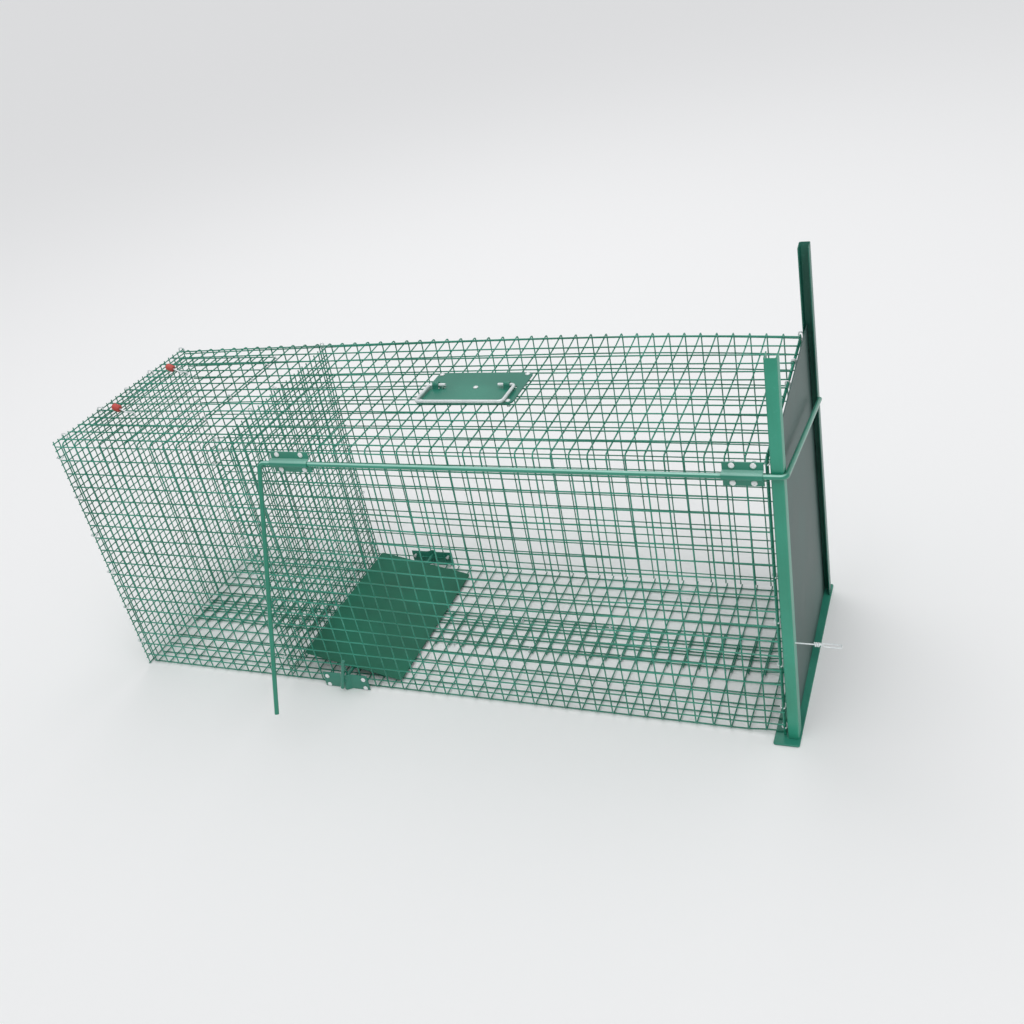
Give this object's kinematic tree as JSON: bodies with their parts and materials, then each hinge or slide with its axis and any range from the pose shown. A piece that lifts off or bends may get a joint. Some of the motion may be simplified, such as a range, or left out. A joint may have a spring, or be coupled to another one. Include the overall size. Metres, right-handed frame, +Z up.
{
  "type": "live animal trap",
  "caption": "Welded mesh cage trap with a drop door in two channels, a treadle, a side release rod, a bait hatch and a folding carry bail.",
  "frame": {"origin": "middle of the sill plate's underside, below the drop door", "axes": "+X along the cage from the closed rear end to the door, +Y from the release rod's side to the far side, +Z up"},
  "size_m": [1.233, 0.5363, 0.597],
  "materials": {
    "mesh_paint": "satin",
    "green_paint": "satin",
    "door_paint": "satin",
    "galvanised_steel": "galvanised",
    "rivet_aluminium": "bright",
    "red_cap": "matte"
  },
  "bodies": {
    "cage": {"far_door_post": "green_paint", "far_side_mesh": "mesh_paint", "far_treadle_bracket": "green_paint", "far_treadle_bracket_rivet_1": "rivet_aluminium", "far_treadle_bracket_rivet_2": "rivet_aluminium", "far_treadle_bracket_rivet_3": "rivet_aluminium", "far_treadle_bracket_rivet_4": "rivet_aluminium", "floor_mesh": "mesh_paint", "front_hoop": "green_paint", "front_rod_saddle": "green_paint", "front_rod_saddle_rivet_1": "rivet_aluminium", "front_rod_saddle_rivet_2": "rivet_aluminium", "front_rod_saddle_rivet_3": "rivet_aluminium", "front_rod_saddle_rivet_4": "rivet_aluminium", "front_side_ring_1": "galvanised_steel", "front_side_ring_2": "galvanised_steel", "front_side_ring_3": "galvanised_steel", "front_top_ring_1": "galvanised_steel", "front_top_ring_2": "galvanised_steel", "handle_plate": "green_paint", "handle_plate_rivet_1": "rivet_aluminium", "handle_plate_rivet_2": "rivet_aluminium", "handle_plate_rivet_3": "rivet_aluminium", "handle_plate_rivet_4": "rivet_aluminium", "handle_plate_rivet_5": "rivet_aluminium", "hatch_hinge_ring_1": "galvanised_steel", "hatch_hinge_ring_2": "galvanised_steel", "hatch_hinge_ring_3": "galvanised_steel", "hatch_hinge_ring_4": "galvanised_steel", "hatch_hinge_ring_5": "galvanised_steel", "near_door_post": "green_paint", "near_side_mesh": "mesh_paint", "near_treadle_bracket": "green_paint", "near_treadle_bracket_rivet_1": "rivet_aluminium", "near_treadle_bracket_rivet_2": "rivet_aluminium", "near_treadle_bracket_rivet_3": "rivet_aluminium", "near_treadle_bracket_rivet_4": "rivet_aluminium", "partition_mesh": "mesh_paint", "rear_mesh": "mesh_paint", "rear_rod_saddle": "green_paint", "rear_rod_saddle_rivet_1": "rivet_aluminium", "rear_rod_saddle_rivet_2": "rivet_aluminium", "rear_rod_saddle_rivet_3": "rivet_aluminium", "rear_rod_saddle_rivet_4": "rivet_aluminium", "rear_side_ring_1": "galvanised_steel", "rear_side_ring_2": "galvanised_steel", "rear_top_ring_1": "galvanised_steel", "sill_plate": "green_paint", "top_mesh": "mesh_paint"},
    "carry_bail": {"carry_bail": "galvanised_steel"},
    "door": {"drop_door": "door_paint"},
    "far_hook": {"far_hatch_hook": "galvanised_steel", "far_hook_cap": "red_cap"},
    "lid": {"hatch_lid_mesh": "mesh_paint"},
    "locking_pin": {"locking_pin": "galvanised_steel"},
    "near_hook": {"near_hatch_hook": "galvanised_steel", "near_hook_cap": "red_cap"},
    "release_rod": {"release_rod": "green_paint"},
    "treadle": {"treadle_axle": "green_paint", "treadle_plate": "green_paint"}
  },
  "joints": [
    {"name": "door_slide", "type": "slide", "parent": "cage", "child": "door", "axis": [0, 0, 1], "range_m": [0, 0.288]},
    {"name": "release_rod_swing", "type": "hinge", "parent": "cage", "child": "release_rod", "pos_m": [-0.4465, -0.1873, 0.44], "axis": [1, 0, 0], "range_deg": [-60, 22]},
    {"name": "treadle_tilt", "type": "hinge", "parent": "cage", "child": "treadle", "pos_m": [-0.7274, 0, 0.021], "axis": [0, 1, 0], "range_deg": [-24, 0]},
    {"name": "carry_bail_swing", "type": "hinge", "parent": "cage", "child": "carry_bail", "pos_m": [-0.4765, 0.0087, 0.4707], "axis": [-1, 0, 0], "range_deg": [0, 180]},
    {"name": "lid_hinge", "type": "hinge", "parent": "cage", "child": "lid", "pos_m": [-0.9052, 0, 0.4652], "axis": [0, 1, 0], "range_deg": [0, 150]},
    {"name": "near_hook_swing", "type": "hinge", "parent": "lid", "child": "near_hook", "pos_m": [-1.0576, -0.08255, 0.4652], "axis": [0, 1, 0], "range_deg": [0, 90]},
    {"name": "far_hook_swing", "type": "hinge", "parent": "lid", "child": "far_hook", "pos_m": [-1.0576, 0.06985, 0.4652], "axis": [0, 1, 0], "range_deg": [0, 90]},
    {"name": "locking_pin_slide", "type": "slide", "parent": "cage", "child": "locking_pin", "axis": [1, 0, 0], "range_m": [0, 0.03]}
  ]
}
